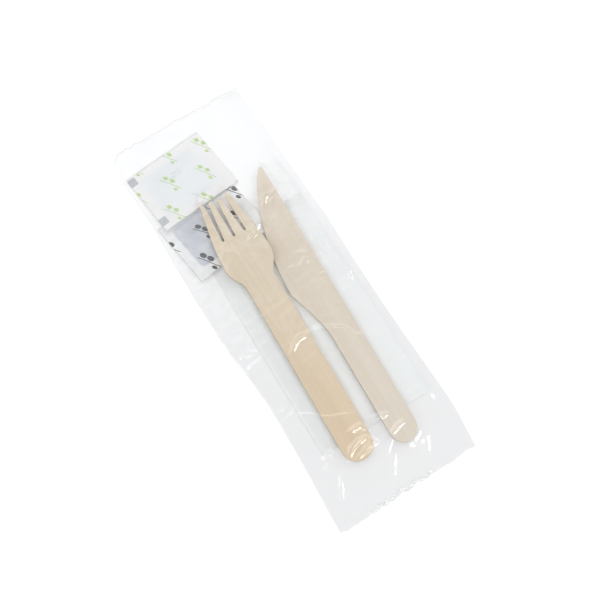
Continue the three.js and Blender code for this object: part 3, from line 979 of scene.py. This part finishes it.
def ridge(x, y, points, half_width):
    """1 along a line through points and 0 away from it, fading out at its ends."""
    points = np.array(points, float)
    spans = np.linalg.norm(np.diff(points, axis=0), axis=1)
    total = spans.sum()
    best = np.full(x.shape, np.inf)
    share = np.zeros(x.shape)
    start = 0.0
    for a, b, span in zip(points, points[1:], spans):
        t = np.clip(((x - a[0]) * (b[0] - a[0]) + (y - a[1]) * (b[1] - a[1])) / span**2, 0, 1)
        gap = np.hypot(x - a[0] - t * (b[0] - a[0]), y - a[1] - t * (b[1] - a[1]))
        nearer = gap < best
        best = np.where(nearer, gap, best)
        share = np.where(nearer, (start + t * span) / total, share)
        start += span
    fade = np.sin(np.pi * np.clip(share, 0.02, 0.98)) ** CREASE_FADE
    slope = np.maximum(0, 1 - best / half_width)
    rounded = fade * slope * slope * (3 - 2 * slope)
    return rounded * CREASE_ROUND + fade * slope * (1 - CREASE_ROUND)


def settle(rest, held):
    """A taut skin over heights, fixed where it is held: relaxed on the two halves of a checker board."""
    height = rest.copy()
    row, column = np.indices(rest.shape)
    halves = [~held & ((row + column) % 2 == k) for k in (0, 1)]
    for _ in range(SETTLE_ROUNDS):
        for half in halves:
            mean = (np.roll(height, 1, 0) + np.roll(height, -1, 0)
                    + np.roll(height, 1, 1) + np.roll(height, -1, 1)) / 4
            pulled = height + SETTLE_PULL * (mean - height)
            height[half] = np.maximum(rest, pulled)[half]
    return height


def contents_height(x, y, solids):
    """Highest point of what lies in the bag, below each place."""
    top = np.zeros(x.shape)
    trees = [BVHTree.FromPolygons(points.tolist(), faces) for points, faces in solids]
    for index in np.ndindex(x.shape):
        above = Vector((x[index], y[index], 50))
        for tree in trees:
            hit = tree.ray_cast(above, Vector((0, 0, -1)))[0]
            if hit is not None and hit.z > top[index]:
                top[index] = hit.z
    return top


def crumpled(x, y):
    """Sharp little folds in the places where the film is crumpled."""
    folds = np.ones(x.shape)
    for depth, scale, seed in CRUMPLE_FOLDS:
        folds -= depth * np.abs(field(x, y, scale, seed))
    height = np.full(x.shape, CRUMPLE_LEAST)
    for across, along, reach, most in CRUMPLES:
        near = np.exp(-(((x - across) ** 2 + (y - along) ** 2) / (CRUMPLE_CORE * reach) ** 2))
        height = np.maximum(height, most * near)
    return height * np.clip(folds, 0, 1)


def side_edge(places, nominal):
    """Where a side of the bag lies on each row: through a few places, with soft corners."""
    line = np.interp(nominal[:, 0], *np.array(places).T)
    padded = np.pad(line, EDGE_SOFTEN, mode="edge")
    weight = np.hanning(2 * EDGE_SOFTEN + 1)
    smooth = np.convolve(padded, weight / weight.sum(), mode="valid")
    return np.repeat(smooth[:, None], nominal.shape[1], axis=1)


def side_fold(x, y, back, front):
    """Three lines round the left fold, from the back film up to the front film."""
    middle = (back + front) / 2
    radius = np.maximum(front - back, 0.0) / 2
    lines = []
    for angle in np.radians((-45, 0, 45)):
        out = x - radius * math.cos(angle)
        lines.append(np.column_stack([out, y, middle + radius * math.sin(angle)]))
    return lines


def bead_tree(film):
    """Drops of melted film laid along a line."""
    tree = bpy.data.node_groups.new("weld beads", "GeometryNodeTree")
    tree.interface.new_socket("Line", in_out="INPUT", socket_type="NodeSocketGeometry")
    for name in ("Spacing", "Size"):
        tree.interface.new_socket(name, in_out="INPUT", socket_type="NodeSocketFloat")
    tree.interface.new_socket("Beads", in_out="OUTPUT", socket_type="NodeSocketGeometry")
    wire = Wire(tree)
    given = tree.nodes.new("NodeGroupInput")
    line, spacing, size = (Wire(tree, given.outputs[k]) for k in range(3))
    curve = wire.node("GeometryNodeMeshToCurve", {"Mesh": line})
    sockets = {"Curve": curve, "Length": spacing}
    places = wire.node("GeometryNodeResampleCurve", sockets, mode="LENGTH")
    drop = wire.node("GeometryNodeMeshIcoSphere", {"Radius": size, "Subdivisions": 1})
    sockets = {0: (-0.2, -0.2, -0.6), 1: (0.2, 0.2, 0.6), "Seed": 4}
    turn = wire.node("FunctionNodeRandomValue", sockets, data_type="FLOAT_VECTOR")
    sockets = {0: (0.1, 0.2, 0.1), 1: (1.5, 0.9, 0.3), "Seed": 9}
    swell = wire.node("FunctionNodeRandomValue", sockets, data_type="FLOAT_VECTOR")
    sockets = {"Points": places, "Instance": drop, "Rotation": turn, "Scale": swell}
    beads = wire.node("GeometryNodeInstanceOnPoints", sockets)
    real = wire.node("GeometryNodeRealizeInstances", {"Geometry": beads})
    done = wire.node("GeometryNodeSetMaterial", {"Geometry": real, "Material": film})
    wire.node("NodeGroupOutput", {"Beads": done})
    return tree


def make_beads(line, film):
    """The melted bead of the weld at the foot of the bag, from the points it follows, in a whitish
    material that is partly painted glints.
    """
    path = bpy.data.meshes.new("weld_line")
    edges = [(k, k + 1) for k in range(len(line) - 1)]
    path.from_pydata((np.asarray(line) * MM).tolist(), edges, [])
    carrier = bpy.data.objects.new("weld_line", path)
    bpy.context.scene.collection.objects.link(carrier)
    tree = bead_tree(film)
    layer = carrier.modifiers.new("beads", "NODES")
    layer.node_group = tree
    sizes = {"Spacing": BEAD_SPACING * MM, "Size": BEAD_SIZE * MM}
    for item in tree.interface.items_tree:
        if item.name in sizes:
            layer[item.identifier] = sizes[item.name]
    evaluated = carrier.evaluated_get(bpy.context.evaluated_depsgraph_get())
    mesh = bpy.data.meshes.new_from_object(evaluated)
    carrier.modifiers.clear()
    bpy.data.objects.remove(carrier)
    mesh.name = "weld_bead"
    while mesh.materials[0] is None:
        mesh.materials.pop(index=0)
    piece = bpy.data.objects.new("weld_bead", mesh)
    bpy.context.scene.collection.objects.link(piece)
    return piece


def make_bag(solids, film):
    """One web of film: the back, the left fold and the front, which settles over the contents."""
    columns = round((cad_box[1].x - cad_box[0].x) / MM / FILM_CELL) + 1
    rows = round((BAG_HIGH - BAG_LOW) / FILM_CELL) + 1
    across, along = np.meshgrid(np.linspace(0, 1, columns), np.linspace(0, 1, rows))
    nominal = BAG_LOW + (BAG_HIGH - BAG_LOW) * along
    left = side_edge(LEFT_EDGE, nominal)
    right = side_edge(RIGHT_EDGE, nominal)
    x = left + (right - left) * across
    to_end = np.minimum(nominal - BAG_LOW, BAG_HIGH - nominal)
    ragged = np.zeros(x.shape)
    for share, scale, seed in RAGGED_BITS:
        ragged += share * field(x, np.sign(nominal), scale, seed)
    y = nominal + END_RAGGED * ragged * (1 - smoothstep(to_end, 0, RAGGED_RUN))
    from_left = np.minimum((right - left) * across, CORNER)
    rounding = CORNER - np.sqrt(CORNER**2 - (CORNER - from_left) ** 2)
    y -= rounding * smoothstep(nominal, BAG_HIGH - CORNER_RUN, BAG_HIGH)

    back = np.full(x.shape, BACK_REST)
    for height, scale, seed in BACK_RIPPLES:
        back += height * np.abs(field(x, y, scale, seed))
    curl = END_CURL * (1 - smoothstep(to_end, 0, CURL_RUN))
    back += curl * (0.5 + 0.5 * field(x, y, 0.07, 14.0))

    from_right = (right - left) * (1 - across)
    opened = smoothstep(to_end, WELD, WELD + OPEN_RUN)
    welded = (to_end <= WELD) | (from_right <= SIDE_WELD)
    folded = across == 0
    rim = back + FOLD_RISE * opened * (0.8 + 0.3 * field(x, y, 0.05, 17.3))
    contents = contents_height(x, y, solids) + FILM_CLEAR
    rest = np.maximum(contents, back + FILM_GAP)
    rest[folded] = rim[folded]
    rest[welded] = back[welded] + FILM_GAP
    front = softened(settle(rest, welded | folded), 2)

    free = smoothstep(front - contents, *FREE_GAP)
    loose = smoothstep(to_end, WELD, WELD + LOOSE_END) * smoothstep(across, 0, LOOSE_LEFT)
    loose *= smoothstep(from_right, SIDE_WELD, SIDE_WELD + LOOSE_RIGHT)
    front += loose * free * SLOW_WAVE * (field(x, y, 0.05, 41.3) + 0.6)
    front += loose * free * QUICK_WAVE * field(x, y, 0.14, 42.0)
    slanted = x + STREAK_SLANT * y
    streaks = 1 - STREAK_SHARP * np.abs(field(slanted, STREAK_STRETCH * y, 0.13, 47.0))
    front += STREAK * loose * free * smoothstep(across, 0.02, 0.2) * np.clip(streaks, 0, 1)
    bent_x = x + CREASE_WANDER * field(x, y, 0.12, 43.0)
    bent_y = y + CREASE_WANDER * field(x, y, 0.12, 44.0)
    for height, half_width, points in CREASES:
        front += height * loose * ridge(bent_x, bent_y, points, half_width)
    front += loose * crumpled(x, y)
    seam = np.exp(-(((to_end - SEAM_AT) / SEAM_HALF) ** 2))
    seam *= np.clip(field(x, y, 0.5, 25.0) + 0.3, 0, 1)
    front += SEAM_HEIGHT * seam * smoothstep(across, 0, 0.02) * smoothstep(1 - across, 0, 0.02)
    front[0], front[-1] = back[0], back[-1]

    strips = [np.column_stack([x[:, k], y[:, k], back[:, k]]) for k in reversed(range(columns))]
    strips += side_fold(x[:, 0], y[:, 0], back[:, 0], front[:, 0])
    strips += [np.column_stack([x[:, k], y[:, k], front[:, k]]) for k in range(columns)]
    points = np.array(strips).reshape(-1, 3)
    faces = [face[::-1] for face in grid_faces(len(strips), rows)]
    points, faces = merged(points, faces)
    inset = round(BEAD_INSET / FILM_CELL)
    melted = (x[inset] > BEAD_RUN[0]) & (x[inset] < BEAD_RUN[1])
    weld_line = np.column_stack([x[inset], y[inset], front[inset]])[melted]
    # The weld beads get the whitish melted film, which partly paints glints along the foot weld
    return make_piece("film_bag", points, faces, film), make_beads(weld_line, melted_film_and_glints())


# Studio

def aim(thing, target):
    direction = Vector(target) - thing.location
    thing.rotation_mode = "QUATERNION"
    thing.rotation_quaternion = direction.to_track_quat("-Z", "Y")


def make_camera():
    camera = bpy.data.objects.new("camera", bpy.data.cameras.new("camera"))
    camera.data.lens = LENS
    camera.data.sensor_width = SENSOR
    camera.data.clip_start = CLIP_NEAR
    camera.data.clip_end = CLIP_FAR
    azimuth, elevation = math.radians(VIEW_AZIMUTH), math.radians(VIEW_ELEVATION)
    back = Vector((
        math.sin(azimuth) * math.cos(elevation),
        -math.cos(azimuth) * math.cos(elevation),
        math.sin(elevation),
    ))
    target = Vector(VIEW_TARGET) * MM
    camera.location = target + back * VIEW_DISTANCE * MM
    aim(camera, target)
    bpy.context.scene.collection.objects.link(camera)
    bpy.context.scene.camera = camera


def softbox(name, azimuth, elevation, width, height, power):
    light = bpy.data.lights.new(name, "AREA")
    light.shape = "RECTANGLE"
    light.size = width
    light.size_y = height
    light.energy = power
    lamp = bpy.data.objects.new(name, light)
    a, e = math.radians(azimuth), math.radians(elevation)
    direction = Vector((math.sin(a) * math.cos(e), math.cos(a) * math.cos(e), math.sin(e)))
    lamp.location = LAMP_DISTANCE * direction
    aim(lamp, (0, 0, 0))
    bpy.context.scene.collection.objects.link(lamp)


def seen_directly(wire):
    """1 for rays from the camera and for mirrored or transmitted ones."""
    camera = wire.node("ShaderNodeLightPath", output="Is Camera Ray")
    glossy = wire.node("ShaderNodeLightPath", output="Is Glossy Ray")
    through = wire.node("ShaderNodeLightPath", output="Is Transmission Ray")
    return wire.math("MAXIMUM", camera, wire.math("MAXIMUM", glossy, through))


def make_floor():
    material, wire = new_material("white_floor")
    paint = wire.node("ShaderNodeBsdfDiffuse", {"Color": (FLOOR_SHADE,) * 3 + (1,)})
    glow = wire.node("ShaderNodeEmission", {"Strength": seen_directly(wire) * FLOOR_GLOW})
    finish_material(wire, wire.node("ShaderNodeAddShader", {0: paint, 1: glow}))
    half = FLOOR_HALF
    corners = [(-half, -half, 0), (half, -half, 0), (half, half, 0), (-half, half, 0)]
    floor = make_piece("floor", corners, [(0, 1, 2, 3)], material, smooth=False)


def make_world():
    """Even light, brighter high beyond the head of the bag, over a low white wall all round."""
    world = bpy.data.worlds.new("studio")
    world.use_nodes = True
    world.node_tree.nodes.clear()
    wire = Wire(world.node_tree)
    direction = wire.coordinates("Generated")
    beyond = direction.axis("Y").ramp(*BEYOND_ALONG) * direction.axis("Z").ramp(*BEYOND_UP)
    light = beyond * WORLD_BEYOND + WORLD_LIGHT
    wall = 1 - direction.axis("Z").ramp(*WALL_TOP)
    strength = wire.math("MAXIMUM", wall, light)
    sky = wire.node("ShaderNodeBackground", {"Color": SKY_TINT, "Strength": strength})
    wire.node("ShaderNodeOutputWorld", {"Surface": sky})
    bpy.context.scene.world = world


make_camera()
make_world()
make_floor()
for lamp_name, lamp in LAMPS.items():
    softbox(lamp_name, *lamp)
bpy.context.scene.view_settings.view_transform = "Standard"

napkin, *napkin_shape = make_napkin()
salt_paper = sachet_paper("salt_paper", **SALT_PRINT)
pepper_paper = sachet_paper("pepper_paper", **PEPPER_PRINT)
pepper, *pepper_shape = make_sachet(
    "pepper_pack", "pepper_sachet", PEPPER_PLACE, PEPPER_TURN, pepper_paper, PEPPER_SEED
)
salt, *salt_shape = make_sachet(
    "salt_pack", "salt_sachet", SALT_PLACE, SALT_TURN, salt_paper, SALT_SEED
)
knife, *knife_shape = make_knife()
fork, *fork_shape = make_fork()
bag, bead = make_bag([napkin_shape, pepper_shape, salt_shape, knife_shape, fork_shape], clear_film())

for piece, node, finish in (
    (bag, "bag", "film"),
    (fork, "fork", "birch_fork"),
    (knife, "knife", "birch_knife"),
    (napkin, "napkin", "tissue"),
    (salt, "salt_sachet", "salt_paper"),
    (pepper, "pepper_sachet", "pepper_paper"),
):
    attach(piece, "root")
    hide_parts(node)
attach(bead, "root")
